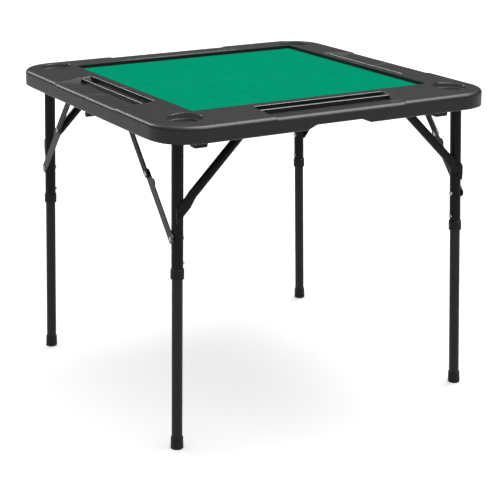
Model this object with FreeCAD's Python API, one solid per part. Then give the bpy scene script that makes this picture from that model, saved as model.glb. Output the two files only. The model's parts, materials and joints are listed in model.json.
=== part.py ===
"""Square folding game table: two hinged half tops, four folding legs and a carrying handle.

Sizes are in millimetres. The origin is on the floor under the middle of the table.
X runs along the fold seam, Y to the back and Z up, so the front half lies at negative Y.
Legs, struts and braces are made for the front left corner and mirrored to the other three.
"""
import FreeCAD, Part
import math
import os

V = FreeCAD.Vector

# Table top
table_side = 880.0
table_height = 769.0
corner_radius = 95.0
rim_width = 122.0
rim_fall = 8.0
rim_edge_radius = 10.0
apron_depth = 46.0
apron_wall = 4.0
underside_recess = 19.0
seam_gap = 1.0
seam_channel_width = 44.0

# Playing field
felt_recess = 8.0
felt_thickness = 3.0
felt_clearance = 0.5
felt_corner_radius = 6.0

# Tile racks, measured outwards from the playing field and down from the inner edge of the rim
rack_length = 338.0
rack_land = 21.0
deep_groove_width = 19.0
deep_groove_depth = 16.0
ridge_width = 9.0
ridge_depth = 5.0
small_groove_width = 16.0
small_groove_depth = 15.0
shelf_chamfer = 2.0
shelf_inner_depth = 12.5
shelf_outer_depth = 9.4
shelf_shoulder_overrun = 0.2
rack_end_slope_share = 0.5
groove_corner_radius = 5.0

# Cup wells
cup_radius = 40.0
cup_depth = 16.0
cup_inset = 83.0
cup_floor_round = 4.0

# Handle notch in the apron
notch_width = 120.0
notch_slant = 24.0
notch_depth = 10.0
handle_offset = -8.0

# Leg frames
leg_inset_x = 63.9
leg_inset_y = 79.3
leg_splay_x = 20.9
leg_splay_y = 14.3
pivot_rise = 2.0
pivot_tube_radius = 13.5
pivot_tube_wall = 1.5
pivot_tube_overhang = 14.0
leg_radius = 13.5
leg_wall = 0.8
upper_leg_length = 316.0

# Struts between the leg and its pivot tube
strut_radius = 10.5
strut_wall = 1.2
strut_reach = 160.0
strut_above_brace = 63.0
strut_offset = 11.0
strut_flat_width = 28.0
strut_flat_thickness = 5.0
strut_flat_length = 22.0
strut_taper_length = 26.0
strut_sink = 1.5
strut_overlap = 10.0
strut_rivet_pitch = 24.0

# Collars, lower legs and feet
collar_radius = 15.6
collar_length = 24.0
collar_lip = 4.0
collar_clearance = 0.05
lower_leg_radius = 12.5
lower_leg_wall = 1.0
insert_length = 44.0
slide_clearance = 0.2
foot_height = 29.0
foot_radius = 15.3
foot_top_radius = 14.2
foot_sole = 5.0
foot_edge_round = 2.0

# Snap buttons
button_radius = 4.0
button_height = 3.6
button_dome = 1.4
button_above_end = 32.0
button_clearance = 0.3

# Knee braces
brace_reach = 197.0
brace_above_button = 58.0
lower_link_thickness = 2.5
lower_link_width = 23.0
finger_tab_length = 30.0
finger_tab_height = 6.5
finger_tab_from_knee = 13.0
finger_tab_root = 4.0
finger_tab_round = 4.0
upper_link_thickness = 4.0
upper_link_width = 18.0
link_gap = 0.5
leg_link_gap = 0.7
spacer_gap = 0.3

# Rivets and brace brackets
rivet_radius = 3.0
rivet_head_radius = 5.5
rivet_head_height = 1.8
rivet_clearance = 0.1
bracket_thickness = 2.5
bracket_length = 40.0
bracket_width = 29.0
bracket_gap = 0.4
ear_radius = 8.0
brace_pin_radius = 2.5

# Pivot clips
clip_inset = 115.0
clip_width = 27.0
clip_wall = 4.0
clip_depth = 28.0
clip_round = 8.0
clip_flange = 13.0
clip_clearance = 0.2
pad_width = 66.0
pad_margin = 3.0
pad_rise = 4.0

# Stiffening slots pressed into the underside of each half
slot_length = 96.0
slot_width = 14.0
slot_depth = 7.0
slot_end_radius = 6.0
slot_columns = 4
slot_rows = 2
slot_pitch_x = 140.0
slot_pitch_y = 130.0

# Fold hinges
hinge_inset = 20.0
hinge_length = 27.0
hinge_drop = 9.0
knuckle_radius = 6.5
knuckle_gap = 0.3
hinge_pin_radius = 3.0
hinge_clearance = 0.08
leaf_thickness = 2.5
leaf_reach = 36.0
leaf_setback = 2.0

# Carrying handle
handle_pivot_inset = 9.0
handle_pivot_drop = 14.0
handle_post_gap = 100.0
handle_post_width = 13.0
handle_thickness = 7.0
handle_reach = 50.0
grip_width = 14.0
grip_thickness = 9.0
grip_bow = 3.0
grip_corner_radius = 5.0
grip_edge_round = 2.0
grip_core_width = 7.0
grip_core_thickness = 5.0
grip_rib_radius = 1.5
grip_rib_pitch = 8.0
grip_rib_count = 9
lug_wall = 3.0
lug_gap = 0.4
lug_radius = 4.0
lug_length = 10.0
lug_flange = 13.0
handle_pin_radius = 1.6
handle_clearance = 0.1

# Screws
screw_radius = 2.2
screw_length = 10.0
screw_head_radius = 4.5
screw_head_height = 2.6
screw_clearance = 0.05

# How far cutting tools run past what they cut, and how near counts as touching
overrun = 5.0
tolerance = 0.001

# Places worked out from the sizes above
half_side = table_side / 2
field_half = half_side - rim_width
apron_bottom = table_height - apron_depth
underside = apron_bottom + underside_recess
felt_seat = table_height - felt_recess - felt_thickness
pivot_z = apron_bottom + pivot_rise
pivot_x = half_side - leg_inset_x
pivot_y = half_side - leg_inset_y
seam_half = seam_gap / 2

UP = V(0, 0, 1)
ALONG_X = V(1, 0, 0)
ALONG_Y = V(0, 1, 0)
ORIGIN = V(0, 0, 0)


def box(low, high):
    size = high - low
    return Part.makeBox(size.x, size.y, size.z, low)


def rod(start, end, radius):
    along = end - start
    return Part.makeCylinder(radius, along.Length, start, along)


def pipe(start, end, radius, wall):
    return rod(start, end, radius).cut(rod(start, end, radius - wall))


def turned(shape, degrees):
    copy = shape.copy()
    copy.rotate(ORIGIN, UP, degrees)
    return copy


def is_upright(edge):
    return abs(edge.tangentAt(edge.FirstParameter).z) > 1 - tolerance


def is_steep(edge):
    along = edge.tangentAt(edge.FirstParameter)
    return abs(along.z) > math.hypot(along.x, along.y)


def rounded_block(low, high, radius):
    block = box(low, high)
    return block.makeFillet(radius, [e for e in block.Edges if is_upright(e)])


def prism(points, along):
    return Part.Face(Part.makePolygon(points + points[:1])).extrude(along)


# The crowned rim

def rim_height(place):
    """Height of the rim at a distance from the table's middle line."""
    return table_height - max(place - field_half, 0) * rim_fall / rim_width


def crown_face(start):
    """Section of the top from a place on the rim, or from the middle, out to the edge, in the XZ plane."""
    slope = math.atan2(rim_fall, rim_width)
    centre_x = half_side - rim_edge_radius
    tangent_x = centre_x + rim_edge_radius * math.sin(slope)
    tangent_z = rim_height(tangent_x)
    centre_z = tangent_z - rim_edge_radius * math.cos(slope)
    middle = (math.pi / 2 - slope) / 2
    arc_middle = V(centre_x + rim_edge_radius * math.cos(middle), 0,
                   centre_z + rim_edge_radius * math.sin(middle))
    wall_top = V(half_side, 0, centre_z)
    tangent = V(tangent_x, 0, tangent_z)
    line = [tangent, V(max(start, field_half), 0, rim_height(start))]
    if start < field_half:
        line.append(V(start, 0, table_height))
    line += [V(start, 0, apron_bottom), V(half_side, 0, apron_bottom), wall_top]
    edges = [Part.Arc(wall_top, arc_middle, tangent).toShape()]
    edges += [Part.makeLine(a, b) for a, b in zip(line, line[1:])]
    return Part.Face(Part.Wire(edges))


def crowned_block():
    """The whole top as one block: crowned on all four sides, with round corners."""
    right = crown_face(0)
    right.translate(V(0, -half_side, 0))
    right = right.extrude(V(0, table_side, 0))
    ridge = right.fuse(right.mirror(ORIGIN, ALONG_X)).removeSplitter()
    block = ridge.common(turned(ridge, 90))
    corner = half_side - corner_radius
    quarter = crown_face(corner)
    quarter.translate(V(0, corner, 0))
    quarter = quarter.revolve(V(corner, corner, 0), UP, 90)
    square = box(V(corner, corner, apron_bottom - overrun),
                 V(half_side + overrun, half_side + overrun, table_height + overrun))
    quarters = range(0, 360, 90)
    block = block.cut([turned(square, a) for a in quarters])
    return block.fuse([turned(quarter, a) for a in quarters]).removeSplitter()


# What is cut into the top

def rack_section():
    """Section of the front rack: deep groove, low ridge, small groove, and a shelf with its own shoulder."""
    above = table_height + overrun
    deep = field_half + rack_land
    ridge = deep + deep_groove_width
    small = ridge + ridge_width
    shelf = small + small_groove_width
    shoulder = half_side - rim_edge_radius + shelf_shoulder_overrun
    shelf_top = table_height - shelf_outer_depth
    shelf_foot = shelf_top - rim_edge_radius
    outside = half_side + overrun
    inner = [(deep, above), (deep, table_height - deep_groove_depth),
             (ridge, table_height - deep_groove_depth), (ridge, table_height - ridge_depth),
             (small, table_height - ridge_depth), (small, table_height - small_groove_depth),
             (shelf, table_height - small_groove_depth),
             (shelf + shelf_chamfer, table_height - shelf_inner_depth), (shoulder, shelf_top)]
    outer = [(shoulder + rim_edge_radius, shelf_foot), (outside, shelf_foot), (outside, above), (deep, above)]
    inner = [V(0, -a, z) for a, z in inner]
    outer = [V(0, -a, z) for a, z in outer]
    bend = rim_edge_radius * math.sin(math.pi / 4)
    edges = [Part.makeLine(a, b) for a, b in zip(inner, inner[1:])]
    edges.append(Part.Arc(inner[-1], V(0, -shoulder - bend, shelf_foot + bend), outer[0]).toShape())
    edges += [Part.makeLine(a, b) for a, b in zip(outer, outer[1:])]
    return Part.Face(Part.Wire(edges))


def rack_cutter():
    """The front rack, with end walls that lean outwards so that the top leaves its mould."""
    above = table_height + overrun
    floor = table_height - deep_groove_depth
    low = floor - rim_edge_radius
    deep = field_half + rack_land
    outside = half_side + overrun * 2
    outline = [(side * (rack_length / 2 + (z - floor) * rack_end_slope_share), z)
               for side, z in ((-1, low), (1, low), (1, above), (-1, above))]
    ends = prism([V(x, -outside, z) for x, z in outline], V(0, outside - deep + overrun, 0))
    section = rack_section()
    section.translate(V(-rack_length, 0, 0))
    cutter = section.extrude(V(rack_length * 2, 0, 0)).common(ends)
    inner = [e for e in cutter.Edges if is_steep(e) and abs(e.CenterOfMass.y + deep) < tolerance]
    return cutter.makeFillet(groove_corner_radius, inner)


def cup_cutter():
    place = half_side - cup_inset
    floor = V(place, place, table_height - cup_depth)
    cutter = Part.makeCylinder(cup_radius, cup_depth + overrun, floor)
    low = [e for e in cutter.Edges if abs(e.CenterOfMass.z - floor.z) < tolerance]
    return cutter.makeFillet(cup_floor_round, low)


def notch_cutter():
    """Slanted notch in the lower edge of the front apron, where the folded case has its handle."""
    flat = notch_width / 2
    foot = flat + notch_slant
    outside = -half_side - overrun
    run = notch_slant * overrun / notch_depth
    section = [(-foot - run, -overrun), (foot + run, -overrun), (flat, notch_depth), (-flat, notch_depth)]
    points = [V(handle_offset + x, outside, apron_bottom + z) for x, z in section]
    return prism(points, V(0, overrun + apron_wall, 0))


# Screws

def screw(seat, up=UP):
    """Pan head screw whose head bears on the seat from below."""
    head = Part.makeCylinder(screw_head_radius, screw_head_height, seat - up * screw_head_height, up)
    rim = [e for e in head.Edges if abs((e.CenterOfMass - seat).Length - screw_head_height) < tolerance]
    head = head.makeFillet(screw_head_height / 2, rim)
    return head.fuse(Part.makeCylinder(screw_radius, screw_length, seat, up)).removeSplitter()


def screw_hole(seat, up=UP):
    depth = overrun + screw_length + screw_clearance
    return Part.makeCylinder(screw_radius + screw_clearance, depth, seat - up * overrun, up)


# Pivot clips and the pads that they are screwed to, for the front left one

clip_x = half_side - clip_inset
clip_seat = pivot_z + pad_rise
clip_bore = pivot_tube_radius + clip_clearance
clip_outer = clip_bore + clip_wall
clip_screw_y = clip_outer + clip_flange / 2


def clip_screw_seats():
    level = clip_seat - clip_wall
    return [V(-clip_x, -pivot_y + side * clip_screw_y, level) for side in (-1, 1)]


def pivot_clip():
    """Moulded block that holds the pivot tube from below, with a screw flange on each side."""
    left = V(-clip_x - clip_width / 2, -pivot_y, pivot_z)
    right = left + V(clip_width, 0, 0)
    reach = clip_outer + clip_flange
    block = box(left + V(0, -clip_outer, -clip_depth), right + V(0, clip_outer, pad_rise))
    low = [e for e in block.Edges if abs(e.CenterOfMass.z - pivot_z + clip_depth) < tolerance]
    block = block.makeFillet(clip_round, [e for e in low if abs(e.CenterOfMass.x + clip_x) < tolerance])
    block = block.fuse(box(left + V(0, -reach, pad_rise - clip_wall), right + V(0, reach, pad_rise)))
    past = V(overrun, 0, 0)
    mouth = box(left - past - V(0, clip_bore, 0), right + past + V(0, clip_bore, pad_rise + overrun))
    block = block.cut([mouth, rod(left - past, right + past, clip_bore)]).removeSplitter()
    return block.cut([screw_hole(s) for s in clip_screw_seats()])


def pivot_pad():
    reach = clip_outer + clip_flange + pad_margin
    pad = box(V(-clip_x - pad_width / 2, -pivot_y - reach, clip_seat),
              V(-clip_x + pad_width / 2, -pivot_y + reach, underside))
    middle = V(-clip_x, -pivot_y, pivot_z)
    return pad.cut(rod(middle - ALONG_X * pad_width, middle + ALONG_X * pad_width, clip_bore))


# Legs, made in place at the front left corner

pivot = V(-pivot_x, -pivot_y, pivot_z)
floor_point = V(-pivot_x - leg_splay_x, -pivot_y - leg_splay_y, 0)
leg_down = (floor_point - pivot).normalize()
leg_length = (floor_point - pivot).Length
leg_inward = (ALONG_X - leg_down * leg_down.dot(ALONG_X)).normalize()


def on_leg(distance):
    return pivot + leg_down * distance


def leg_rod(start, end, radius):
    return rod(on_leg(start), on_leg(end), radius)


def leg_pipe(start, end, radius, wall):
    return pipe(on_leg(start), on_leg(end), radius, wall)


pivot_outer_end = pivot - ALONG_X * pivot_tube_overhang
pivot_inner_end = pivot + ALONG_X * (strut_reach + pivot_tube_overhang)


def pivot_tube():
    """Short tube that the leg and its strut are welded to, and that turns in the clip."""
    return pipe(pivot_outer_end, pivot_inner_end, pivot_tube_radius, pivot_tube_wall)


def pivot_rod():
    return rod(pivot_outer_end, pivot_inner_end, pivot_tube_radius)


button_place = upper_leg_length - button_above_end


def button_hole():
    centre = on_leg(button_place)
    return rod(centre, centre + leg_inward * (leg_radius + overrun), button_radius + button_clearance)


def upper_leg():
    tube = leg_pipe(0, upper_leg_length, leg_radius, leg_wall)
    return tube.cut([pivot_rod(), button_hole()])


brace_drop = button_place - brace_above_button
strut_drop = brace_drop - strut_above_brace
strut_joint = on_leg(strut_drop)
strut_line_y = -pivot_y - strut_offset
strut_front = strut_joint.y - leg_radius - strut_flat_thickness + strut_sink
strut_flat_y = strut_front + strut_flat_thickness / 2


def strut():
    """Tube welded to the pivot tube, with its lower end pressed flat on the outer face of the leg."""
    low = V(strut_joint.x, strut_line_y, strut_joint.z)
    high = V(-pivot_x + strut_reach, strut_line_y, pivot_z)
    along = (high - low).normalize()
    across_flat = V(along.z, 0, -along.x)
    start = low + along * (strut_flat_length + strut_taper_length)
    ring = Part.Circle(start, along, strut_radius)
    ring.XAxis = across_flat
    centre = low + along * strut_flat_length
    centre.y = strut_flat_y
    flat = Part.Wire(Part.Ellipse(centre + across_flat * (strut_flat_width / 2),
                                  centre + ALONG_Y * (strut_flat_thickness / 2), centre).toShape())
    taper = Part.makeLoft([flat, Part.Wire(ring.toShape())], True, True)
    end = Part.Face(flat).extrude(along * (-strut_flat_length - strut_flat_width))
    beyond = strut_joint - V(strut_flat_width + strut_overlap, strut_flat_width, strut_flat_width * 2)
    end = end.cut(box(beyond - V(strut_flat_width, strut_flat_width, 0),
                      strut_joint + V(-strut_overlap, strut_flat_width, strut_flat_width * 2)))
    tube = pipe(start, high, strut_radius, strut_wall).fuse([taper, end]).removeSplitter()
    return tube.cut([leg_rod(0, upper_leg_length, leg_radius), pivot_rod()])


def collar():
    end = upper_leg_length + collar_lip
    ring = leg_rod(end - collar_length, end, collar_radius)
    ends = [e for e in ring.Edges if e.Closed]
    ring = ring.makeChamfer(collar_radius - leg_radius - collar_clearance - leg_wall, ends)
    ring = ring.cut(leg_rod(0, upper_leg_length, leg_radius + collar_clearance))
    return ring.cut(leg_rod(0, leg_length, lower_leg_radius + slide_clearance))


def lower_leg():
    top = upper_leg_length - insert_length
    tube = leg_pipe(top, leg_length - foot_sole, lower_leg_radius, lower_leg_wall)
    return tube.cut(button_hole())


def foot():
    """Flared cap, cut flat where it stands on the floor."""
    top = on_leg(leg_length - foot_height)
    cap = Part.makeCone(foot_top_radius, foot_radius, foot_height + foot_sole, top, leg_down)
    upper = [e for e in cap.Edges if e.Closed and e.CenterOfMass.z > foot_sole]
    cap = cap.makeFillet(foot_edge_round / 2, upper)
    cap = cap.cut(leg_rod(0, leg_length - foot_sole, lower_leg_radius + collar_clearance))
    below = V(foot_radius + overrun, foot_radius + overrun, 0)
    cap = cap.cut(box(floor_point - below - UP * foot_height, floor_point + below))
    sole = [e for e in cap.Edges if e.Closed and e.CenterOfMass.z < tolerance]
    return cap.makeChamfer(foot_edge_round, sole)


def snap_button():
    base = on_leg(button_place) + leg_inward * (leg_radius - leg_wall)
    pin = Part.makeCylinder(button_radius, leg_wall + button_height, base, leg_inward)
    tip = base + leg_inward * (leg_wall + button_height)
    rim = [e for e in pin.Edges if e.Closed and (e.CenterOfMass - tip).Length < tolerance]
    return pin.makeFillet(button_dome, rim)


# Knee braces, flat against the outer side of the leg

leg_rivet = on_leg(brace_drop)
lower_link_inner = leg_rivet.x - leg_radius - leg_link_gap
lower_link_outer = lower_link_inner - lower_link_thickness
upper_link_inner = lower_link_outer - link_gap
upper_link_outer = upper_link_inner - upper_link_thickness
panel_pivot = V(upper_link_inner, -pivot_y + brace_reach, pivot_z)

# Straight when the leg stands and folded flat when the leg lies against the top
straight_length = math.hypot(panel_pivot.y - leg_rivet.y, panel_pivot.z - leg_rivet.z)
folded_length = math.hypot(leg_rivet.y - pivot.y, leg_rivet.z - pivot.z) - brace_reach
upper_link_length = (straight_length - folded_length) / 2
lower_link_length = (straight_length + folded_length) / 2
link_down = V(0, leg_rivet.y - panel_pivot.y, leg_rivet.z - panel_pivot.z).normalize()
link_side = V(0, link_down.z, -link_down.y)
knee_y = panel_pivot.y + link_down.y * upper_link_length
knee_z = panel_pivot.z + link_down.z * upper_link_length


def link_plate(start, end, width, inner, thickness):
    """Flat bar with round ends between two pivots, from its inner face outwards."""
    out = V(-thickness, 0, 0)
    first = V(inner, start.y, start.z)
    last = V(inner, end.y, end.z)
    side = link_side * (width / 2)
    bar = prism([first + side, last + side, last - side, first - side], out)
    ends = [rod(p, p + out, width / 2) for p in (first, last)]
    return bar.fuse(ends).removeSplitter()


def across(place, inner, outer, radius):
    return rod(V(inner, place.y, place.z), V(outer, place.y, place.z), radius)


knee = V(lower_link_inner, knee_y, knee_z)


def upper_link():
    bar = link_plate(panel_pivot, knee, upper_link_width, upper_link_inner, upper_link_thickness)
    first = upper_link_inner + overrun
    last = upper_link_outer - overrun
    return bar.cut([across(knee, first, last, rivet_radius + rivet_clearance),
                    across(panel_pivot, first, last, brace_pin_radius + rivet_clearance)])


def lower_link():
    """Stamped bar with a round finger tab on the side towards the corner."""
    bar = link_plate(knee, leg_rivet, lower_link_width, lower_link_inner, lower_link_thickness)
    root = link_side * (lower_link_width / 2 - finger_tab_root)
    rise = link_side * (lower_link_width / 2 + finger_tab_height)
    tab_start = knee + link_down * finger_tab_from_knee
    tab_end = tab_start + link_down * finger_tab_length
    lean = link_down * (finger_tab_height + finger_tab_root)
    tab = prism([tab_start + root, tab_start + lean + rise, tab_end - lean + rise, tab_end + root],
                V(-lower_link_thickness, 0, 0))
    tips = [e for e in tab.Edges if abs(e.tangentAt(e.FirstParameter).x) > 1 - tolerance
            and (e.CenterOfMass - knee).dot(link_side) > lower_link_width / 2]
    tab = tab.makeFillet(finger_tab_round, tips)
    bar = bar.fuse(tab).removeSplitter()
    first = lower_link_inner + overrun
    last = lower_link_outer - overrun
    return bar.cut([across(p, first, last, rivet_radius + rivet_clearance) for p in (knee, leg_rivet)])


def rivet_head(place, face, outward):
    """Low dome on a face, pointing along X one way or the other."""
    start = V(face, place.y, place.z)
    head = Part.makeCylinder(rivet_head_radius, rivet_head_height, start, ALONG_X * outward)
    tip = start + ALONG_X * outward * rivet_head_height
    rim = [e for e in head.Edges if e.Closed and (e.CenterOfMass - tip).Length < tolerance]
    return head.makeFillet(rivet_head_height / 2, rim)


def knee_rivets():
    through = across(knee, lower_link_inner, upper_link_outer, rivet_radius)
    through = through.fuse([rivet_head(knee, lower_link_inner, 1), rivet_head(knee, upper_link_outer, -1)])
    short = across(leg_rivet, lower_link_inner, lower_link_outer, rivet_radius)
    short = short.fuse(rivet_head(leg_rivet, lower_link_outer, -1))
    return [through.removeSplitter(), short.removeSplitter()]


def leg_rivets():
    """Spacer behind the brace, and the rivet head on the other side of the leg."""
    solid_leg = leg_rod(0, upper_leg_length, leg_radius)
    spacer = across(leg_rivet, leg_rivet.x, lower_link_inner + spacer_gap, rivet_head_radius)
    inner_face = leg_rivet.x + leg_radius
    inner = across(leg_rivet, leg_rivet.x, inner_face, rivet_head_radius)
    inner = inner.fuse(rivet_head(leg_rivet, inner_face, 1))
    return [shape.cut(solid_leg).removeSplitter() for shape in (spacer, inner)]


def strut_rivets(flat_end):
    """The two painted rivet heads on the flat end of the strut."""
    rivets = []
    for side in (-1, 1):
        place = on_leg(strut_drop + side * strut_rivet_pitch / 2)
        start = V(place.x, strut_flat_y, place.z)
        head = Part.makeCylinder(rivet_head_radius, strut_flat_y - strut_front + rivet_head_height,
                                 start, ALONG_Y * -1)
        rim = [e for e in head.Edges if e.Closed and e.CenterOfMass.y < strut_front - tolerance]
        rivets.append(head.makeFillet(rivet_head_height / 2, rim).cut(flat_end))
    return rivets


# Brace brackets under the top, open towards the leg

ear_inner = upper_link_outer - bracket_gap
ear_outer = ear_inner - bracket_thickness
plate_low = underside - bracket_thickness


def bracket_screw_seats():
    place = ear_outer - (bracket_width - bracket_thickness) / 2
    step = bracket_length / 2 - screw_head_radius - pad_margin
    return [V(place, panel_pivot.y + side * step, plate_low) for side in (-1, 1)]


def brace_bracket():
    outline = [(-ear_radius, pivot_z), (ear_radius, pivot_z),
               (bracket_length / 2, plate_low), (-bracket_length / 2, plate_low)]
    ear = prism([V(ear_inner, panel_pivot.y + y, z) for y, z in outline], V(-bracket_thickness, 0, 0))
    ear = ear.fuse(across(panel_pivot, ear_inner, ear_outer, ear_radius))
    plate = box(V(ear_inner - bracket_width, panel_pivot.y - bracket_length / 2, plate_low),
                V(ear_inner, panel_pivot.y + bracket_length / 2, underside))
    bracket = ear.fuse(plate).removeSplitter()
    bracket = bracket.cut(across(panel_pivot, ear_inner + overrun, ear_outer - overrun, brace_pin_radius))
    return bracket.cut([screw_hole(s) for s in bracket_screw_seats()])


def brace_pin():
    pin = across(panel_pivot, upper_link_inner, ear_outer, brace_pin_radius)
    return pin.fuse(rivet_head(panel_pivot, ear_outer, -1)).removeSplitter()


# Fold hinges under the seam, for the left one

hinge_x = half_side - hinge_inset
hinge_z = apron_bottom - hinge_drop
knuckle_length = (hinge_length - 2 * knuckle_gap) / 3
leaf_low = apron_bottom - leaf_thickness


def leaf_screw_seats(side):
    place = side * (leaf_setback + knuckle_radius + (leaf_reach - leaf_setback - knuckle_radius) / 2)
    step = hinge_length / 2 - screw_head_radius - leaf_setback
    return [V(-hinge_x + x, place, leaf_low) for x in (-step, step)]


def hinge_leaf(side, knuckles):
    """Leaf on the front (-1) or back (1) half, with the knuckles at the given places along the pin."""
    start = -hinge_x - hinge_length / 2
    ys = sorted((side * leaf_setback, side * leaf_reach))
    leaf = box(V(start, ys[0], leaf_low), V(start + hinge_length, ys[1], apron_bottom))
    webs = sorted((side * leaf_setback, side * knuckle_radius))
    for index in knuckles:
        first = V(start + index * (knuckle_length + knuckle_gap), 0, hinge_z)
        last = first + ALONG_X * knuckle_length
        web = box(V(first.x, webs[0], hinge_z), V(last.x, webs[1], apron_bottom))
        leaf = leaf.fuse([rod(first, last, knuckle_radius), web])
    bore = hinge_pin_radius + hinge_clearance
    leaf = leaf.cut(rod(V(start - overrun, 0, hinge_z), V(start + hinge_length + overrun, 0, hinge_z), bore))
    return leaf.cut([screw_hole(s) for s in leaf_screw_seats(side)]).removeSplitter()


def hinge_pin():
    start = V(-hinge_x - hinge_length / 2, 0, hinge_z)
    return rod(start, start + ALONG_X * hinge_length, hinge_pin_radius)


def hinge_boss():
    """Block under the front half that carries the hinge leaf."""
    return box(V(-half_side + apron_wall, -leaf_reach - pad_margin, apron_bottom),
               V(-hinge_x + hinge_length / 2, -seam_half, underside))


# Carrying handle, stowed under the back half

handle_y = half_side - handle_pivot_inset
handle_z = underside - handle_pivot_drop
handle_half = (handle_post_gap + handle_post_width) / 2
grip_y = handle_y - handle_reach
post_places = [handle_offset + side * handle_post_gap / 2 for side in (-1, 1)]
lug_inner = handle_post_width / 2 + lug_gap
lug_outer = lug_inner + lug_wall
lug_back = handle_y + lug_radius
lug_front = lug_back - lug_length


def handle_rod(start_x, end_x, radius):
    return rod(V(start_x, handle_y, handle_z), V(end_x, handle_y, handle_z), radius)


def lug_screw_seats():
    out = handle_post_gap / 2 + lug_outer + lug_flange / 2
    level = underside - leaf_thickness
    return [V(handle_offset + side * out, (lug_front + lug_back) / 2, level) for side in (-1, 1)]


def handle_mount(side):
    """Two ears joined by the pin, with a flange for the screw on the outer ear."""
    post = handle_offset + side * handle_post_gap / 2
    mount = handle_rod(post - lug_outer, post + lug_outer, handle_pin_radius)
    for ear in (-1, 1):
        xs = sorted((post + ear * lug_inner, post + ear * lug_outer))
        mount = mount.fuse([handle_rod(xs[0], xs[1], lug_radius),
                            box(V(xs[0], lug_front, handle_z), V(xs[1], lug_back, underside))])
    xs = sorted((post + side * lug_outer, post + side * (lug_outer + lug_flange)))
    mount = mount.fuse(box(V(xs[0], lug_front, underside - leaf_thickness), V(xs[1], lug_back, underside)))
    return mount.removeSplitter().cut([screw_hole(s) for s in lug_screw_seats()])


def carry_handle():
    """Bail with two eyes and a core bar inside the grip."""
    thin = V(0, 0, handle_thickness / 2)
    core = V(0, grip_core_width / 2, grip_core_thickness / 2)
    bail = box(V(post_places[0], grip_y, handle_z) - core, V(post_places[1], grip_y, handle_z) + core)
    for x in post_places:
        left = V(x - handle_post_width / 2, grip_y, handle_z)
        right = V(x + handle_post_width / 2, handle_y, handle_z)
        bail = bail.fuse([box(left - thin, right + thin), handle_rod(left.x, right.x, handle_thickness / 2)])
    hole = handle_rod(handle_offset - handle_half - overrun, handle_offset + handle_half + overrun,
                      handle_pin_radius + handle_clearance)
    return bail.removeSplitter().cut(hole)


def handle_grip(bail):
    """Bowed grip with finger ribs, moulded over the bail."""
    low = handle_z - grip_thickness / 2
    near = grip_y + grip_width / 2
    far = grip_y - grip_width / 2
    corners = [V(handle_offset + x, y, low) for x, y in
               ((handle_half, far), (handle_half, near), (-handle_half, near), (-handle_half, far))]
    bow = Part.Arc(corners[3], V(handle_offset, far - grip_bow, low), corners[0]).toShape()
    sides = [Part.makeLine(a, b) for a, b in zip(corners, corners[1:])]
    grip = Part.Face(Part.Wire(sides + [bow])).extrude(V(0, 0, grip_thickness))
    grip = grip.makeFillet(grip_corner_radius, [e for e in grip.Edges if is_upright(e)])
    grip = grip.makeFillet(grip_edge_round, [e for e in grip.Edges if not is_upright(e)])
    grooves = []
    for index in range(grip_rib_count):
        x = handle_offset + (index - (grip_rib_count - 1) / 2) * grip_rib_pitch
        for z in (low, low + grip_thickness):
            grooves.append(rod(V(x, far - grip_bow - overrun, z), V(x, near + overrun, z), grip_rib_radius))
    return grip.cut(grooves).cut(bail)


# Panels

def half_of(shape):
    """The front half of a whole top."""
    reach = half_side + overrun
    low = V(-reach, -reach, apron_bottom - overrun)
    return shape.common(box(low, V(reach, -seam_half, table_height + overrun)))


def both_sides(shapes):
    return shapes + [s.mirror(ORIGIN, ALONG_X) for s in shapes]


def mirrored_seats(seats):
    return seats + [V(-s.x, s.y, s.z) for s in seats]


def to_back(shape):
    return shape.mirror(ORIGIN, ALONG_Y)


panel_screw_seats = mirrored_seats(clip_screw_seats() + bracket_screw_seats() + leaf_screw_seats(-1))


def leg_channel():
    """Gap in the lip along the seam, where the folded leg passes."""
    outer = -hinge_x + hinge_length / 2
    return box(V(outer, -seam_half - apron_wall, apron_bottom - overrun),
               V(outer + seam_channel_width, seam_half, underside))


def underside_slots():
    """Rows of slots between the legs of the front half, where the lower skin meets the upper one."""
    slots = []
    for column in range(slot_columns):
        x = (column - (slot_columns - 1) / 2) * slot_pitch_x
        for row in range(slot_rows):
            y = -half_side / 2 + (row - (slot_rows - 1) / 2) * slot_pitch_y
            low = V(x - slot_length / 2, y - slot_width / 2, underside - overrun)
            high = V(x + slot_length / 2, y + slot_width / 2, underside + slot_depth)
            slots.append(rounded_block(low, high, slot_end_radius))
    return slots


def front_panel():
    quarters = range(0, 360, 90)
    top = crowned_block()
    top = top.cut([turned(rack_cutter(), a) for a in quarters] + [turned(cup_cutter(), a) for a in quarters])
    top = top.cut(rounded_block(V(-field_half, -field_half, felt_seat),
                                V(field_half, field_half, table_height + overrun), felt_corner_radius))
    inner = half_side - apron_wall
    hollow = rounded_block(V(-inner, -inner, apron_bottom - overrun), V(inner, inner, underside),
                           corner_radius - apron_wall)
    hollow = hollow.common(box(V(-inner, -inner, apron_bottom - overrun),
                               V(inner, -seam_half - apron_wall, underside)))
    panel = half_of(top).cut([hollow] + both_sides([leg_channel()]))
    panel = panel.cut(underside_slots())
    panel = panel.fuse(both_sides([pivot_pad(), hinge_boss()])).removeSplitter()
    return panel.cut(notch_cutter())


def front_felt():
    half = field_half - felt_clearance
    high = V(half, half, felt_seat + felt_thickness)
    return half_of(rounded_block(V(-half, -half, felt_seat), high, felt_corner_radius))


def export(name, shapes):
    shape = shapes[0] if len(shapes) == 1 else Part.makeCompound(shapes)
    shape.exportStep(os.path.join("parts", name + ".step"))


# Everything is written out, one file for each piece

os.makedirs("parts", exist_ok=True)

panel = front_panel()
holes = [screw_hole(s) for s in panel_screw_seats]
export("front_panel", [panel.cut(holes)])
export("back_panel", [to_back(panel.cut(holes)).cut([screw_hole(s) for s in lug_screw_seats()])])

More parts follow.
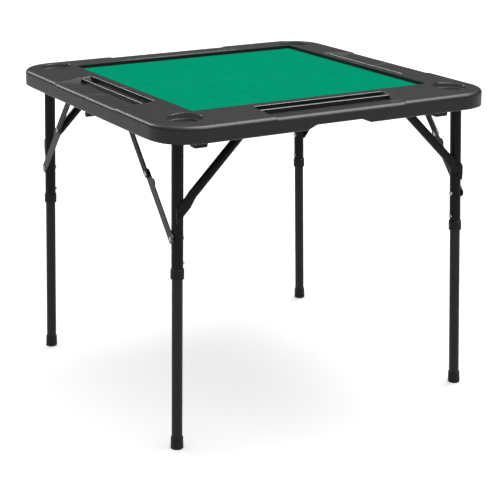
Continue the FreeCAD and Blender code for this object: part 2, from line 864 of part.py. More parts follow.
felt = front_felt()
clips = both_sides([pivot_clip()])
brackets = both_sides([brace_bracket()])
pins = both_sides([brace_pin()])
screws = [screw(s) for s in panel_screw_seats]
for half, place in (("front", lambda shape: shape), ("back", to_back)):
    export(half + "_felt", [place(felt)])
    export(half + "_pivot_clips", [place(s) for s in clips])
    export(half + "_brace_brackets", [place(s) for s in brackets])
export("front_fasteners", screws + pins + both_sides([hinge_pin()]))
export("back_fasteners", [to_back(s) for s in screws + pins] + [screw(s) for s in lug_screw_seats()])
export("front_hinge_leaves", both_sides([hinge_leaf(-1, (0, 2))]))
export("back_hinge_leaves", both_sides([hinge_leaf(1, (1,))]))

bail = carry_handle()
export("handle_mounts", [handle_mount(-1), handle_mount(1)])
export("carry_handle", [bail])
export("handle_grip", [handle_grip(bail)])

slanted = strut()
corner_pieces = {
    "pivot_tube": [pivot_tube()],
    "upper_leg": [upper_leg()],
    "strut": [slanted] + strut_rivets(slanted),
    "collar": [collar()],
    "lower_leg": [lower_leg()],
    "foot": [foot()],
    "leg_rivets": leg_rivets(),
    "snap_button": [snap_button()],
    "brace_upper": [upper_link()],
    "brace_lower": [lower_link()],
    "brace_rivets": knee_rivets(),
}
for piece, shapes in corner_pieces.items():
    others = [s.mirror(ORIGIN, ALONG_X) for s in shapes]
    export("front_left_" + piece, shapes)
    export("front_right_" + piece, others)
    export("back_left_" + piece, [to_back(s) for s in shapes])
    export("back_right_" + piece, [to_back(s) for s in others])
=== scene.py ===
# %% [markdown]
# # Dressing a folding game table
# The table's solids come ready made: two half tops, four folding legs with their knee braces, and a handle.
# This lesson gives them the edges, end plugs, weld beads, screw recesses and finishes of the real table.
# Every new piece rides on one of the table's moving bodies, so it folds with the table.

# %% Load the solids
import json
import math

import bmesh
import bpy
from mathutils import Matrix, Vector


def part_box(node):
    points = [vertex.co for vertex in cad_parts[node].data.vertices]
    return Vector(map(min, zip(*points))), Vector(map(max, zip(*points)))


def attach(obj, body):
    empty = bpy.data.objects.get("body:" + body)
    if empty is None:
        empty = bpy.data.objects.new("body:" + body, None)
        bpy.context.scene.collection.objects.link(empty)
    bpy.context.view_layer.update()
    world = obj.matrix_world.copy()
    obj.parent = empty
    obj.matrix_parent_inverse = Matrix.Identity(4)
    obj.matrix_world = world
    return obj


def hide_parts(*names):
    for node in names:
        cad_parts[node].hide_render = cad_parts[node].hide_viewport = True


MM = 0.001

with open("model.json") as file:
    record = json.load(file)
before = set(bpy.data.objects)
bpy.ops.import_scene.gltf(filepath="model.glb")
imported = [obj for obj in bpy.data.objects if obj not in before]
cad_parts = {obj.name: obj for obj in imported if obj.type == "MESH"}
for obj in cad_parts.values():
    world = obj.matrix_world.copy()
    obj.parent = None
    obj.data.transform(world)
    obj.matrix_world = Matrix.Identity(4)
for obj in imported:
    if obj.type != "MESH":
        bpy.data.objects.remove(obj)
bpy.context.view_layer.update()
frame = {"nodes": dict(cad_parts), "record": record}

# %% [markdown]
# ## The camera
# A product picture like this one is taken from far away with a long lens, so upright legs stay nearly
# parallel. The camera is set by its compass angle, its height angle and its distance from a point just
# below the middle of the table.

# %% Place the camera
AZIMUTH = math.radians(-29.82)
ELEVATION = math.radians(17.52)
CAMERA_DISTANCE = 3.6922
LENS_MM = 103.86
AIM_HEIGHT = 0.400
AIM_RIGHT = 0.00865
AIM_UP = -0.08441
CLIP_END = 50

backward = Vector((math.sin(AZIMUTH) * math.cos(ELEVATION), -math.cos(AZIMUTH) * math.cos(ELEVATION),
                   math.sin(ELEVATION)))
right = Vector((math.cos(AZIMUTH), math.sin(AZIMUTH), 0))
upward = backward.cross(right)
aim = Vector((0, 0, AIM_HEIGHT)) + right * AIM_RIGHT + upward * AIM_UP

camera_data = bpy.data.cameras.new("camera")
camera_data.lens = LENS_MM
camera_data.clip_end = CLIP_END
camera = bpy.data.objects.new("camera", camera_data)
camera.matrix_world = Matrix((right, upward, backward)).transposed().to_4x4()
camera.location = aim + backward * CAMERA_DISTANCE
bpy.context.scene.collection.objects.link(camera)
bpy.context.scene.camera = camera
print("camera at", [round(v, 3) for v in camera.location])

# %% [markdown]
# ## Colours, nodes and objects
# Colours are written as screen codes, and shaders work in linear light, so one function turns one into the
# other. A material is a small graph of nodes, and one function adds any node with its settings and links.
# Meshes are shaped in a bmesh, and one function turns a finished bmesh into an object.

# %% Helpers for colours, nodes and objects


def linear(code):
    """An sRGB hex colour as the linear colour that shaders use."""
    parts = [int(code[i:i + 2], 16) / 255 for i in (1, 3, 5)]
    return tuple(p / 12.92 if p <= 0.04045 else ((p + 0.055) / 1.055) ** 2.4 for p in parts) + (1.0,)


def add_node(tree, kind, sockets=None, **settings):
    """Add one node, set its properties, and fill its sockets, by name or number, with values or links."""
    node = tree.nodes.new(kind)
    for name, value in settings.items():
        setattr(node, name, value)
    for name, value in (sockets or {}).items():
        if isinstance(value, bpy.types.NodeSocket):
            tree.links.new(value, node.inputs[name])
        else:
            node.inputs[name].default_value = value
    return node


def new_material(name):
    """An empty material and its node tree."""
    material = bpy.data.materials.new(name)
    material.use_nodes = True
    tree = material.node_tree
    tree.nodes.clear()
    return material, tree


def add_object(name, mesh, materials):
    """An object at the origin, made from a finished bmesh."""
    data = bpy.data.meshes.new(name)
    mesh.to_mesh(data)
    mesh.free()
    for material in materials:
        data.materials.append(material)
    made = bpy.data.objects.new(name, data)
    bpy.context.scene.collection.objects.link(made)
    return made


print("half grey in linear light:", round(linear("#808080")[0], 3))

# %% [markdown]
# ## Floor and backdrop
# The table stands on a pale floor that glows a little, like the lit sweep of a product studio, so that no
# grey shadow gathers under it. A far white wall, a line spun round the table, closes the view at low angles.
# A dark top seen at a low angle mirrors what stands behind it, and bright surroundings would turn black
# plastic grey. So only the camera sees the wall, and glossy surfaces see the dimmer room of the next step
# in place of the floor.

# %% Floor
FLOOR_HALF = 30.0
FLOOR_GLOW = 0.34

floor_paint, tree = new_material("pale_floor_paint")
shader = add_node(tree, "ShaderNodeBsdfPrincipled",
                  {"Base Color": linear("#fbfbfb"), "Roughness": 0.9, "Specular IOR Level": 0.1,
                   "Emission Color": linear("#ffffff"), "Emission Strength": FLOOR_GLOW})
add_node(tree, "ShaderNodeOutputMaterial", {"Surface": shader.outputs["BSDF"]})
mesh = bmesh.new()
bmesh.ops.create_grid(mesh, x_segments=1, y_segments=1, size=FLOOR_HALF)
floor = add_object("floor", mesh, [floor_paint])
floor.visible_glossy = False
print("floor side in metres:", 2 * FLOOR_HALF)

# %% Backdrop
WALL_RADIUS = 29.0
WALL_HEIGHT = 8.0
WALL_STEPS = 48
WALL_GLOW = 1.0

wall_paint, tree = new_material("white_wall_paint")
shader = add_node(tree, "ShaderNodeBsdfPrincipled",
                  {"Base Color": linear("#fbfbfb"), "Roughness": 0.9,
                   "Emission Color": linear("#ffffff"), "Emission Strength": WALL_GLOW})
add_node(tree, "ShaderNodeOutputMaterial", {"Surface": shader.outputs["BSDF"]})
mesh = bmesh.new()
wall_ends = [mesh.verts.new((WALL_RADIUS, 0, height)) for height in (0, WALL_HEIGHT)]
bmesh.ops.spin(mesh, geom=wall_ends + [mesh.edges.new(wall_ends)], cent=(0, 0, 0), axis=(0, 0, 1),
               angle=math.tau, steps=WALL_STEPS, use_merge=True)
wall = add_object("backdrop", mesh, [wall_paint])
wall.visible_diffuse = False
wall.visible_glossy = False
wall.visible_shadow = False
print("backdrop faces:", len(wall.data.polygons))

# %% [markdown]
# ## Room and lamps
# The room is bright overhead, dim at the horizon and pale below it, where it stands in for the floor in
# reflections. One softbox casts the soft shadow. Three reflectors only show in glossy surfaces: they draw
# the bright lines along edges that turn upwards, to the front or to the back. Distant lamps are used
# because they light a wide floor evenly. The plain display transform keeps white white and the cloth as
# green as it is.

# %% Room
CEILING_LIGHT = 1.3
CEILING_START = 0.3
CEILING_FULL = 0.8
HORIZON_LIGHT = 0.12
HORIZON_SOFTNESS = 0.02
FLOOR_MIRROR = 0.8

room = bpy.data.worlds.new("studio_room")
room.use_nodes = True
sky = room.node_tree
sky.nodes.clear()
direction = add_node(sky, "ShaderNodeTexCoord").outputs["Generated"]
height = add_node(sky, "ShaderNodeSeparateXYZ", {"Vector": direction}).outputs["Z"]
above = add_node(sky, "ShaderNodeMapRange",
                 {"Value": height, "From Min": CEILING_START, "From Max": CEILING_FULL,
                  "To Min": HORIZON_LIGHT, "To Max": CEILING_LIGHT}, interpolation_type="SMOOTHSTEP")
below = add_node(sky, "ShaderNodeMapRange",
                 {"Value": height, "From Min": -HORIZON_SOFTNESS, "From Max": 0.0,
                  "To Min": FLOOR_MIRROR, "To Max": HORIZON_LIGHT})
light = add_node(sky, "ShaderNodeMath", {0: above.outputs["Result"], 1: below.outputs["Result"]},
                 operation="MAXIMUM")
shade = add_node(sky, "ShaderNodeBackground",
                 {"Color": linear("#ffffff"), "Strength": light.outputs["Value"]})
add_node(sky, "ShaderNodeOutputWorld", {"Surface": shade.outputs["Background"]})
bpy.context.scene.world = room
bpy.context.scene.view_settings.view_transform = "Standard"
print("room nodes:", len(sky.nodes))

# %% Lamps
LAMP_DISTANCE = 3
# Each lamp has the direction that it shines from, its width in degrees and its strength.
softbox = ("overhead_softbox", (0.42, 0.18, 0.88), 20, 0.5)
reflectors = [
    ("ceiling_reflector", (0.35, -0.05, 0.93), 50, 3.6),
    ("front_reflector", (0.474, -0.5, 0.725), 40, 1.75),
    ("rear_reflector", (-0.28, 0.83, 0.485), 20, 1.1),
]


def soft_sun(name, toward, spread, strength):
    """A distant round lamp, as wide as a softbox, that lights the floor evenly."""
    data = bpy.data.lights.new(name, "SUN")
    data.angle = math.radians(spread)
    data.energy = strength
    lamp = bpy.data.objects.new(name, data)
    lamp.rotation_euler = Vector(toward).to_track_quat("Z", "Y").to_euler()
    lamp.location = Vector(toward) * LAMP_DISTANCE
    bpy.context.scene.collection.objects.link(lamp)
    return lamp


soft_sun(*softbox)
for reflector in reflectors:
    soft_sun(*reflector).visible_diffuse = False
print("lamps:", 1 + len(reflectors))

# %% [markdown]
# ## Moulded charcoal plastic
# The half tops are blow moulded from HDPE, a polyethylene. It has a dull sheen and a fine pebbled grain
# left by the etched mould. The grain could be a picture, but smooth Voronoi cells give it at its real size
# with no seams. The etching fades out on tight edges, so these are smoother and draw thin bright lines. The
# walls of the cup wells are painted paler than the rest, painted light for the light they catch from the
# front, and they are duller.

# %% Moulded polyethylene
# The grain is drawn half as coarse again as the real one, so that it shows.
GRAIN_MM = 2.4
GRAIN_HEIGHT_MM = 0.3
CLOUD_MM = 60.0
POLYETHYLENE_IOR = 1.52


def moulded_polyethylene(name, darkest, lightest, roughness, grain, gloss):
    """HDPE with a cloudy tone, and a grain that goes from smooth to rough between the pebbles."""
    material, tree = new_material(name)
    place = add_node(tree, "ShaderNodeTexCoord").outputs["Object"]
    pebbles = add_node(tree, "ShaderNodeTexVoronoi", {"Vector": place, "Scale": 1 / (GRAIN_MM * MM)},
                       feature="SMOOTH_F1")
    cloud = add_node(tree, "ShaderNodeTexNoise",
                     {"Vector": place, "Scale": 1 / (CLOUD_MM * MM), "Detail": 3.0})
    colour = add_node(tree, "ShaderNodeValToRGB", {"Fac": cloud.outputs["Fac"]})
    colour.color_ramp.elements[0].color = linear(darkest)
    colour.color_ramp.elements[1].color = linear(lightest)
    rough = add_node(tree, "ShaderNodeMapRange", {"Value": pebbles.outputs["Distance"],
                                                  "To Min": roughness[0], "To Max": roughness[1]})
    bump = add_node(tree, "ShaderNodeBump", {"Height": pebbles.outputs["Distance"], "Strength": grain,
                                             "Distance": GRAIN_HEIGHT_MM * MM})
    shader = add_node(tree, "ShaderNodeBsdfPrincipled",
                      {"Base Color": colour.outputs["Color"], "Roughness": rough.outputs["Result"],
                       "Normal": bump.outputs["Normal"], "IOR": POLYETHYLENE_IOR,
                       "Specular IOR Level": gloss})
    add_node(tree, "ShaderNodeOutputMaterial", {"Surface": shader.outputs["BSDF"]})
    return material


finishes = {"moulded_top": moulded_polyethylene("etched_polyethylene", "#1c1c1e", "#232325",
                                                roughness=(0.32, 0.42), grain=0.38, gloss=0.3)}
edge_finishes_and_highlights = {"moulded_top": moulded_polyethylene("smooth_polyethylene_edge", "#1c1c1e", "#232325",
                                                     roughness=(0.14, 0.2), grain=0.05, gloss=0.75)}
# The paler colour of the cup-well walls is painted light: it stands in for the light they catch from the
# front.
well_painted_light = moulded_polyethylene("well_wall_painted_light", "#5c5c60", "#626266",
                                   roughness=(0.5, 0.6), grain=0.22, gloss=0.2)
print("moulded finishes:", finishes["moulded_top"].name, edge_finishes_and_highlights["moulded_top"].name, well_painted_light.name)

# %% [markdown]
# ## Green cloth
# The playing field is needle felt glued to a board: short crossing fibres and no gloss. Single hairs would be
# far too fine to see, so two noises give the tone, one as fine as a tuft of fibres and one as wide as the
# clouds of the nap, and the fine one also raises the surface. The rounded edges of the felt are painted
# paler: a painted highlight for the light that the seam catches.

# %% Needle felt
FIBRE_MM = 1.2
FIBRE_HEIGHT_MM = 0.25
NAP_MM = 35.0
NOISE_RANGE = (0.6, 1.4)


def green_felt(name, darkest, lightest):
    """Felt whose tone follows its fibres and its nap."""
    material, tree = new_material(name)
    place = add_node(tree, "ShaderNodeTexCoord").outputs["Object"]
    fibres = add_node(tree, "ShaderNodeTexNoise",
                      {"Vector": place, "Scale": 1 / (FIBRE_MM * MM), "Detail": 4.0, "Roughness": 0.7})
    nap = add_node(tree, "ShaderNodeTexNoise",
                   {"Vector": place, "Scale": 1 / (NAP_MM * MM), "Detail": 2.0})
    both = add_node(tree, "ShaderNodeMath", {0: fibres.outputs["Fac"], 1: nap.outputs["Fac"]},
                    operation="ADD")
    tone = add_node(tree, "ShaderNodeMapRange", {"Value": both.outputs["Value"],
                                                 "From Min": NOISE_RANGE[0], "From Max": NOISE_RANGE[1]})
    colour = add_node(tree, "ShaderNodeValToRGB", {"Fac": tone.outputs["Result"]})
    colour.color_ramp.elements[0].color = linear(darkest)
    colour.color_ramp.elements[1].color = linear(lightest)
    bump = add_node(tree, "ShaderNodeBump", {"Height": fibres.outputs["Fac"], "Strength": 0.3,
                                             "Distance": FIBRE_HEIGHT_MM * MM})
    shader = add_node(tree, "ShaderNodeBsdfPrincipled",
                      {"Base Color": colour.outputs["Color"], "Roughness": 0.95, "Specular IOR Level": 0.0,
                       "Normal": bump.outputs["Normal"]})
    add_node(tree, "ShaderNodeOutputMaterial", {"Surface": shader.outputs["BSDF"]})
    return material


finishes["green_cloth"] = green_felt("green_needle_felt", "#048e6a", "#049a73")
# Painted highlight: the felt's rounded edges are coloured paler than the felt itself.
edge_finishes_and_highlights["green_cloth"] = green_felt("felt_edge_painted_highlight", "#0c9671", "#28a783")
print("felt finishes:", finishes["green_cloth"].name, edge_finishes_and_highlights["green_cloth"].name)

# %% [markdown]
# ## Black paint on steel
# The legs, struts and brackets are steel with baked epoxy powder: satin black with a slight orange peel.
# The lower links have a greyer satin enamel, and the lower legs a smooth gloss enamel that slides easily.
# Only the colour and the gloss differ, so one function makes all three.

# %% Powder coat and enamel
PEEL_MM = 1.8
PEEL_HEIGHT_MM = 0.2
PEEL_STRENGTH = 0.12
EPOXY_IOR = 1.5


def black_paint(name, colour_code, roughness, gloss):
    """Paint on steel with the soft waves of an orange peel."""
    material, tree = new_material(name)
    place = add_node(tree, "ShaderNodeTexCoord").outputs["Object"]
    peel = add_node(tree, "ShaderNodeTexNoise",
                    {"Vector": place, "Scale": 1 / (PEEL_MM * MM), "Detail": 2.0})
    rough = add_node(tree, "ShaderNodeMapRange", {"Value": peel.outputs["Fac"],
                                                  "To Min": roughness[0], "To Max": roughness[1]})
    bump = add_node(tree, "ShaderNodeBump", {"Height": peel.outputs["Fac"], "Strength": PEEL_STRENGTH,
                                             "Distance": PEEL_HEIGHT_MM * MM})
    shader = add_node(tree, "ShaderNodeBsdfPrincipled",
                      {"Base Color": linear(colour_code), "Roughness": rough.outputs["Result"],
                       "Normal": bump.outputs["Normal"], "IOR": EPOXY_IOR, "Specular IOR Level": gloss})
    add_node(tree, "ShaderNodeOutputMaterial", {"Surface": shader.outputs["BSDF"]})
    return material


finishes["powder_coat"] = black_paint("black_powder_coat", "#131314", roughness=(0.28, 0.38), gloss=0.14)
finishes["satin_paint"] = black_paint("satin_black_enamel", "#1d1d1e", roughness=(0.24, 0.34), gloss=0.3)
leg_enamel = black_paint("gloss_black_enamel", "#202021", roughness=(0.2, 0.27), gloss=0.2)
print("paints:", finishes["powder_coat"].name, finishes["satin_paint"].name, leg_enamel.name)

# %% [markdown]
# ## Zinc, black plastic and grip rubber
# Screws, rivets and buttons are zinc plated steel, bright with a fine mottling that only its roughness
# shows. Clips, collars and feet are moulded polypropylene, a dull black with a fine speckle, and the grip
# is a softer and duller rubber. Both plastics have the same kind of surface, so one function makes them.

# %% Zinc plate and moulded plastics
SPANGLE_MM = 1.0
ZINC_ROUGHNESS = (0.22, 0.42)
SPECKLE_HEIGHT_MM = 0.2
SPECKLE_STRENGTH = 0.15


def zinc_plate(name, colour_code):
    """Bright zinc on steel."""
    material, tree = new_material(name)
    place = add_node(tree, "ShaderNodeTexCoord").outputs["Object"]
    spangle = add_node(tree, "ShaderNodeTexNoise",
                       {"Vector": place, "Scale": 1 / (SPANGLE_MM * MM), "Detail": 3.0})
    rough = add_node(tree, "ShaderNodeMapRange", {"Value": spangle.outputs["Fac"],
                                                  "To Min": ZINC_ROUGHNESS[0], "To Max": ZINC_ROUGHNESS[1]})
    shader = add_node(tree, "ShaderNodeBsdfPrincipled",
                      {"Base Color": linear(colour_code), "Metallic": 1.0,
                       "Roughness": rough.outputs["Result"]})
    add_node(tree, "ShaderNodeOutputMaterial", {"Surface": shader.outputs["BSDF"]})
    return material


def black_plastic(name, colour_code, speckle_mm, roughness, gloss):
    """A moulded plastic or rubber with a fine speckle."""
    material, tree = new_material(name)
    place = add_node(tree, "ShaderNodeTexCoord").outputs["Object"]
    speckle = add_node(tree, "ShaderNodeTexNoise",
                       {"Vector": place, "Scale": 1 / (speckle_mm * MM), "Detail": 3.0})
    rough = add_node(tree, "ShaderNodeMapRange", {"Value": speckle.outputs["Fac"],
                                                  "To Min": roughness[0], "To Max": roughness[1]})
    bump = add_node(tree, "ShaderNodeBump", {"Height": speckle.outputs["Fac"], "Strength": SPECKLE_STRENGTH,
                                             "Distance": SPECKLE_HEIGHT_MM * MM})
    shader = add_node(tree, "ShaderNodeBsdfPrincipled",
                      {"Base Color": linear(colour_code), "Roughness": rough.outputs["Result"],
                       "Normal": bump.outputs["Normal"], "Specular IOR Level": gloss})
    add_node(tree, "ShaderNodeOutputMaterial", {"Surface": shader.outputs["BSDF"]})
    return material


finishes["zinc"] = zinc_plate("zinc_plated_steel", "#b4b6ba")
finishes["black_plastic"] = black_plastic("black_polypropylene", "#111112", speckle_mm=0.9,
                                          roughness=(0.42, 0.55), gloss=0.25)
finishes["handle_plastic"] = black_plastic("black_grip_rubber", "#171718", speckle_mm=0.7,
                                           roughness=(0.55, 0.7), gloss=0.4)
print("finishes by slot:", sorted(finishes))

# %% [markdown]
# ## Softened edges
# A real moulding or tube end never has a perfectly sharp edge, and the thin bright line along an edge is
# what makes it look real. Each solid is copied, its loose triangles are merged, flat areas are joined to
# single faces, and a Bevel modifier rounds what is left. How wide it rounds depends on the material.

# %% Widths of the rounded edges
FLAT_ANGLE = math.radians(0.4)
EDGE_ANGLE = math.radians(28)
MERGE_MM = 0.002
edge_width_mm = {"moulded_top": 3.0, "green_cloth": 0.8, "powder_coat": 0.4, "satin_paint": 0.4,
                 "zinc": 0.25, "black_plastic": 0.5, "handle_plastic": 0.5}
print("widest rounding in mm:", max(edge_width_mm.values()))

# %% [markdown]
# ## Edges of the half tops
# A half top is one moulding with many kinds of edge. Its outer edges are wide and soft, the lips of the cup
# wells and the ends of the racks are tighter, the seam is nearly sharp so that the halves meet, and the
# recess edges stay sharp against the cloth. The solids could be split by kind, but one Bevel modifier does it
# all when each edge stores its own share of the widest rounding.

# %% Share of the rounding by place
CUP_PLACE = 0.357
CUP_RADIUS = 0.040
CUP_MARGIN = 0.002
CUP_SHARE = 0.4
SEAM_HALF = 0.002
SEAM_SHARE = 0.12
FIELD_HALF = 0.318
FIELD_MARGIN = 0.002
RACK_END = (0.160, 0.185)
RACK_INNER = 0.336
RACK_END_SHARE = 0.25
SHOULDER_START = 0.428
TOP_LOWEST = 0.75
TOP_SHARE = 0.6
APRON_HIGHEST = 0.735
APRON_START = 0.43
APRON_SHARE = 0.7


def in_cup(point):
    """True inside a cup well or on its lip."""
    return math.hypot(abs(point.x) - CUP_PLACE, abs(point.y) - CUP_PLACE) < CUP_RADIUS + CUP_MARGIN


def panel_edge_share(middle):
    """The share of the widest rounding that one sharp edge of a half top gets, by where it lies."""
    near, far = sorted((abs(middle.x), abs(middle.y)))
    if abs(middle.y) < SEAM_HALF:
        return SEAM_SHARE
    if middle.z > TOP_LOWEST:
        if abs(far - FIELD_HALF) < FIELD_MARGIN:
            return 0.0
        if RACK_END[0] < near < RACK_END[1] and far > RACK_INNER:
            return RACK_END_SHARE if far < SHOULDER_START else 0.0
        return CUP_SHARE if in_cup(middle) else TOP_SHARE
    if middle.z < APRON_HIGHEST and far > APRON_START:
        return APRON_SHARE
    return 0.0


def weigh_panel_edges(mesh):
    """Store how much each outward edge is rounded."""
    weights = mesh.edges.layers.float.new("bevel_weight_edge")
    for edge in mesh.edges:
        if edge.calc_face_angle(0) > EDGE_ANGLE:
            middle = (edge.verts[0].co + edge.verts[1].co) / 2
            share = panel_edge_share(middle) if edge.is_convex else 0.0
            edge[weights] = share
            edge.smooth = share > 0


print("cup lip rounding in mm:", CUP_SHARE * edge_width_mm["moulded_top"])

# %% [markdown]
# ## Flat faces of the half tops
# Smooth shading blends a face into its neighbours. That is right on curved walls and rounded edges, but it
# draws blotches over wide flat faces. So a face that doesn't bend softly into a neighbour of about its own
# size is shaded flat. The modifier is applied on the half tops, because only then can the faces of the
# rounded edges be told from the flat ones. The walls of the cup wells also get their paler colour here, which
# is painted light.

# %% Mark the faces of the half tops
FLAT_NEIGHBOUR_SHARE = 0.3
EDGE_MATERIAL = 1
WELL_MATERIAL = 2
WELL_TOP = 0.766
WELL_WALL_SLOPE = 0.7


def is_flat(face):
    """True for a face that doesn't bend softly into a neighbour of about its own size."""
    least = FLAT_NEIGHBOUR_SHARE * face.calc_area()
    soft = [edge for edge in face.edges if FLAT_ANGLE < edge.calc_face_angle(0) < EDGE_ANGLE]
    neighbours = [other for edge in soft for other in edge.link_faces if other is not face]
    return not any(other.calc_area() > least for other in neighbours)


def mark_panel_faces(mesh):
    """Shade the flat faces flat, and paint the walls of the cup wells paler as painted light."""
    for face in mesh.faces:
        middle = face.calc_center_median()
        face.smooth = not is_flat(face)
        if in_cup(middle) and middle.z < WELL_TOP and abs(face.normal.z) < WELL_WALL_SLOPE:
            face.material_index = WELL_MATERIAL


def apply_bevel(piece):
    """Turn the rounded edges into faces and shade these smooth between the flat faces."""
    bpy.context.view_layer.update()
    graph = bpy.context.evaluated_depsgraph_get()
    rounded = bpy.data.meshes.new_from_object(piece.evaluated_get(graph))
    for face in rounded.polygons:
        face.use_smooth = face.use_smooth or face.material_index == EDGE_MATERIAL
    piece.modifiers.clear()
    piece.data = rounded


print("finishes on a half top:", 1 + max(EDGE_MATERIAL, WELL_MATERIAL))

# %% [markdown]
# ## Screw heads and hinge pins
# A screw is driven through a cross that was pressed into its head. A boolean could cut it, but the flat end
# of a head is easily inset, cut into nine fields by four planes, and the five fields of the cross pushed in.
# The hinge pins share a node with the screws and are blackened, so their faces get the black finish.

# %% Press crosses and blacken pins
HEAD_AREAS_MM2 = (29.5, 34.0)
HEAD_LEAST_CORNERS = 8
CROSS_MARGIN_MM = 0.7
CROSS_HALF_MM = 0.55
CROSS_DEPTH_MM = 1.1
PIN_MATERIAL = 1
PIN_X_LEAST = 0.400
PIN_Y_MOST = 0.012


def is_screw_head(face):
    """True for the flat end of a screw head, which is known by its size."""
    area = face.calc_area() / MM ** 2
    return HEAD_AREAS_MM2[0] < area < HEAD_AREAS_MM2[1] and len(face.verts) >= HEAD_LEAST_CORNERS


def press_crosses(mesh):
    """Press a cross into every screw head."""
    heads = [face for face in mesh.faces if is_screw_head(face)]
    half = CROSS_HALF_MM * MM
    for head in heads:
        centre = head.calc_center_median()
        normal = head.normal.copy()
        sides = [normal.orthogonal().normalized()]
        sides.append(normal.cross(sides[0]))
        bmesh.ops.inset_individual(mesh, faces=[head], thickness=CROSS_MARGIN_MM * MM)
        fields = [head] + list(head.edges) + list(head.verts)
        for side in sides:
            for offset in (half, -half):
                cut = bmesh.ops.bisect_plane(mesh, geom=fields, plane_co=centre + side * offset,
                                             plane_no=side)
                fields = cut["geom"]
        cross = []
        for field in fields:
            if isinstance(field, bmesh.types.BMFace):
                away = field.calc_center_median() - centre
                if min(abs(away.dot(side)) for side in sides) < half:
                    cross.append(field)
        pushed = bmesh.ops.extrude_face_region(mesh, geom=cross)["geom"]
        points = [item for item in pushed if isinstance(item, bmesh.types.BMVert)]
        bmesh.ops.translate(mesh, verts=points, vec=-normal * CROSS_DEPTH_MM * MM)
    print("crosses pressed:", len(heads))


def blacken_hinge_pins(mesh):
    """Give the hinge pins, which lie at the two ends of the seam, the black finish."""
    for face in mesh.faces:
        middle = face.calc_center_median()
        if abs(middle.x) > PIN_X_LEAST and abs(middle.y) < PIN_Y_MOST:
            face.material_index = PIN_MATERIAL


print("cross width in mm:", 2 * CROSS_HALF_MM)

# %% [markdown]
# ## Dressing each solid
# Each solid's copy is merged, marked and rounded, and then takes the solid's place on the same body. The
# Weighted Normal modifier lets wide faces decide how an edge is shaded, so flats stay flat beside it.

# %% Soften every solid
PANEL_BEVEL_SEGMENTS = 5
BEVEL_SEGMENTS = 3
NO_EDGE_MATERIAL = -1

slot_of = {entry["node"]: entry["material_slot"] for entry in frame["record"]["subparts"]}
body_of_node = {}
for body, nodes in frame["record"]["behaviour"]["bodies"].items():
    for node in nodes:
        body_of_node[node] = body


def node_finishes(node):
    """The finishes of one solid, in the order in which its faces number them."""
    slot = slot_of[node]
    listed = [leg_enamel if node.endswith("_lower_leg") else finishes[slot]]
    if slot in edge_finishes_and_highlights:
        listed.append(edge_finishes_and_highlights[slot])
    if node.endswith("_panel"):
        # The third finish is the paler cup-well wall, which is painted light.
        listed.append(well_painted_light)
    if node.endswith("_fasteners"):
        listed.append(finishes["powder_coat"])
    return listed


def softened(node):
    """A bevelled copy of one solid that takes its place on the same body."""
    slot = slot_of[node]
    is_panel = node.endswith("_panel")
    mesh = bmesh.new()
    mesh.from_mesh(frame["nodes"][node].data)
    bmesh.ops.remove_doubles(mesh, verts=mesh.verts, dist=MERGE_MM * MM)
    bmesh.ops.dissolve_limit(mesh, angle_limit=FLAT_ANGLE, verts=mesh.verts, edges=mesh.edges)
    for face in mesh.faces:
        face.smooth = True
    if is_panel:
        weigh_panel_edges(mesh)
        mark_panel_faces(mesh)
    if node.endswith("_fasteners"):
        press_crosses(mesh)
        blacken_hinge_pins(mesh)
    piece = add_object(node + "_soft", mesh, node_finishes(node))
    bevel = piece.modifiers.new("edges", "BEVEL")
    bevel.width = edge_width_mm[slot] * MM
    bevel.segments = PANEL_BEVEL_SEGMENTS if is_panel else BEVEL_SEGMENTS
    bevel.limit_method = "WEIGHT" if is_panel else "ANGLE"
    bevel.angle_limit = EDGE_ANGLE
    bevel.use_clamp_overlap = not is_panel
    bevel.harden_normals = not is_panel
    # Bevel faces take the edge finish. On the felt this is a paler painted highlight.
    bevel.material = EDGE_MATERIAL if slot in edge_finishes_and_highlights else NO_EDGE_MATERIAL
    if is_panel:
        apply_bevel(piece)
    flats = piece.modifiers.new("flat_faces", "WEIGHTED_NORMAL")
    flats.keep_sharp = True
    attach(piece, body_of_node[node])
    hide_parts(node)
    return piece


soft_pieces = [softened(node) for node in frame["nodes"]]
print("softened solids:", len(soft_pieces))

# %% [markdown]
# ## End plugs
# The pivot tubes are cut from plain tube, so their ends are closed with pushed-in plugs: a low dome that
# covers the wall of the tube, and a stem that sits inside it. A plug is round, so its half outline is spun
# about the tube.

# %% Helper that turns a mesh into a riding piece


def new_piece(name, mesh, body, slot):
    """Make a smooth piece from a finished mesh, with its finish and the body that carries it."""
    bmesh.ops.remove_doubles(mesh, verts=mesh.verts, dist=MERGE_MM * MM)
    bmesh.ops.recalc_face_normals(mesh, faces=mesh.faces)
    for face in mesh.faces:
        face.smooth = True
    piece = add_object(name, mesh, [finishes[slot]])
    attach(piece, body)
    print(name, "faces:", len(piece.data.polygons))
    return piece


# %% Plugs in the ends of the pivot tubes
PLUG_STEPS = 32
PLUG_STEM_MM = 8.0
PLUG_PLAY_MM = 0.2
TUBE_WALL_MM = 1.5
# Each point of the dome has its height in mm and its share of the tube's radius.
dome_outline = [(2.0, 0.0), (1.9, 0.45), (1.5, 0.8), (0.8, 0.96), (0.0, 1.0)]

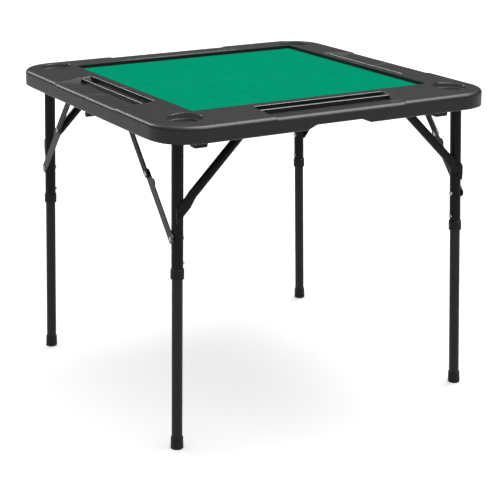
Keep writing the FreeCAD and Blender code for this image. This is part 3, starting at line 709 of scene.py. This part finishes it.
corners = {"front_left": (-1, -1), "front_right": (1, -1), "back_left": (-1, 1), "back_right": (1, 1)}
for corner in corners:
    low, high = (Vector(point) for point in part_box(corner + "_pivot_tube"))
    radius = (high.z - low.z) / 2
    stem = radius - (TUBE_WALL_MM + PLUG_PLAY_MM) * MM
    outline = [(out * MM, share * radius) for out, share in dome_outline]
    outline += [(0.0, stem), (-PLUG_STEM_MM * MM, stem), (-PLUG_STEM_MM * MM, 0.0)]
    mesh = bmesh.new()
    for end, outward in ((low.x, -1), (high.x, 1)):
        centre = Vector((end, (low.y + high.y) / 2, (low.z + high.z) / 2))
        points = [mesh.verts.new(centre + Vector((outward * out, 0, away))) for out, away in outline]
        lines = [mesh.edges.new(pair) for pair in zip(points, points[1:])]
        bmesh.ops.spin(mesh, geom=points + lines, cent=centre, axis=(1, 0, 0), angle=math.tau,
                       steps=PLUG_STEPS, use_merge=True)
    plugs = new_piece(corner + "_end_plugs", mesh, corner + "_leg", "black_plastic")
    plugs.modifiers.new("flat_faces", "EDGE_SPLIT").split_angle = EDGE_ANGLE
print("end plugs:", 2 * len(corners))

# %% [markdown]
# ## Weld beads
# The legs and struts are welded to the pivot tubes, and a weld leaves a rippled bead along the line where two
# tubes meet. A curve with a round section could follow that line, but it is simpler to spin a small ring
# round the end of the leg or strut, and to slide its points along that tube until they rest on the side of
# the pivot tube. One corner is modelled and scaled by -1 to give the others.

# %% Shape of one weld bead
BEAD_MM = 1.7
BEAD_SIDES = 8
BEAD_STEPS_PER_TURN = 104
RIPPLE_MM = 0.3
RIPPLES_PER_TURN = 26
LEG_RADIUS_MM = 13.5
STRUT_RADIUS_MM = 10.5
LEG_TOP = Vector((0.3761, 0.3607, 0.7250))
LEG_FOOT = Vector((0.3970, 0.3750, 0.0))
STRUT_TOP = Vector((0.2161, 0.3717, 0.7250))
STRUT_FOOT = Vector((0.3808, 0.3717, 0.5620))
STRUT_SWEEP = math.radians(196)


def slide_to_tube(spoke, along, tube_radius):
    """How far a point beside the pivot tube's middle slides along a tube to rest on the pivot tube."""
    spoke = Vector((0, spoke.y, spoke.z))
    flat = Vector((0, along.y, along.z))
    half = spoke.dot(flat) / flat.length_squared
    rest = (spoke.length_squared - tube_radius ** 2) / flat.length_squared
    return -half + math.sqrt(max(half * half - rest, 0))


def bead(mesh, top, foot, radius, tube_radius, sweep):
    """A rippled ring round the tube from top to foot, centred on its inner side, on the pivot tube."""
    along = (foot - top).normalized()
    inward = along.cross(Vector((1, 0, 0))).normalized()
    if inward.y > 0:
        inward = -inward
    start = Matrix.Rotation(-sweep / 2, 3, along) @ inward
    earlier = set(mesh.verts)
    ring = bmesh.ops.create_circle(mesh, segments=BEAD_SIDES, radius=BEAD_MM * MM)["verts"]
    turn = Matrix((start, along, start.cross(along))).transposed()
    for point in ring:
        point.co = top + start * radius + turn @ point.co
    sides = [edge for edge in mesh.edges if edge.verts[0] in ring]
    bmesh.ops.spin(mesh, geom=ring + sides, cent=top, axis=along, angle=sweep,
                   steps=round(BEAD_STEPS_PER_TURN * sweep / math.tau), use_merge=sweep == math.tau)
    tube_centre = Vector((0, LEG_TOP.y, LEG_TOP.z))
    for point in mesh.verts:
        if point not in earlier:
            out = point.co - top
            out -= along * out.dot(along)
            out = out.normalized()
            slide = slide_to_tube(top + out * radius - tube_centre, along, tube_radius)
            angle = math.atan2(out.dot(inward.cross(along)), out.dot(inward))
            ripple = RIPPLE_MM * MM * math.sin(RIPPLES_PER_TURN * angle)
            point.co += along * (slide + ripple)
    open_edges = [edge for edge in mesh.edges if edge.is_boundary]
    if open_edges:
        bmesh.ops.holes_fill(mesh, edges=open_edges)


print("bead width in mm:", 2 * BEAD_MM)

# %% Weld beads round the leg and the strut
tube_radius = LEG_RADIUS_MM * MM
for corner, (side_x, side_y) in corners.items():
    mesh = bmesh.new()
    bead(mesh, LEG_TOP, LEG_FOOT, LEG_RADIUS_MM * MM, tube_radius, math.tau)
    bead(mesh, STRUT_TOP, STRUT_FOOT, STRUT_RADIUS_MM * MM, tube_radius, STRUT_SWEEP)
    bmesh.ops.scale(mesh, verts=mesh.verts, vec=(side_x, side_y, 1))
    new_piece(corner + "_weld_beads", mesh, corner + "_leg", "powder_coat")
print("weld beads:", 2 * len(corners))
